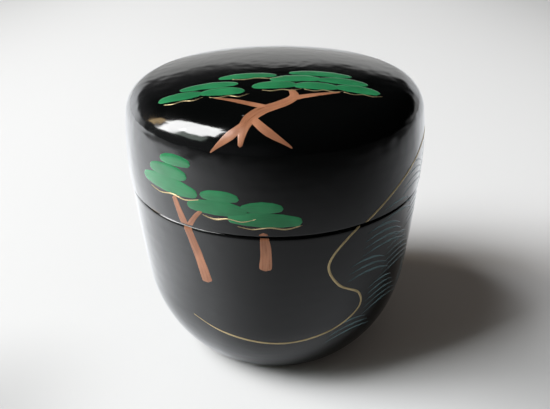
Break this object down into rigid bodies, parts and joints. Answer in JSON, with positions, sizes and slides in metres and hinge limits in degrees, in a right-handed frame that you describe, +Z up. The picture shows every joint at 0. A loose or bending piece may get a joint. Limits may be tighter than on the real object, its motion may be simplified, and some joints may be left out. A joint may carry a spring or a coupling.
{
  "type": "tea caddy",
  "caption": "Round lacquered tea caddy with a domed lid that lifts off a thin rim inside the mouth, for powdered green tea.",
  "frame": {"origin": "centre of the foot, on the surface that the caddy stands on", "axes": "+Z up along the axis of revolution, -Y towards the painted front, +X to the right seen from the front"},
  "size_m": [0.066, 0.066, 0.067],
  "materials": {
    "black_lacquer": "turned wood under high-gloss black lacquer, finely rippled",
    "green_paint": "glossy green lacquer paint, brushed by hand",
    "copper_paint": "satin copper-brown lacquer paint",
    "gold_line": "fine line of gold powder in lacquer",
    "teal_wash": "thin blue-grey brush strokes over the black"
  },
  "bodies": {
    "caddy": {"body": "black_lacquer"},
    "lid": {"lid": "black_lacquer"}
  },
  "joints": [
    {"name": "lid_lift", "type": "slide", "parent": "caddy", "child": "lid", "axis": [0, 0, 1], "range_m": [0, 0.05]}
  ]
}
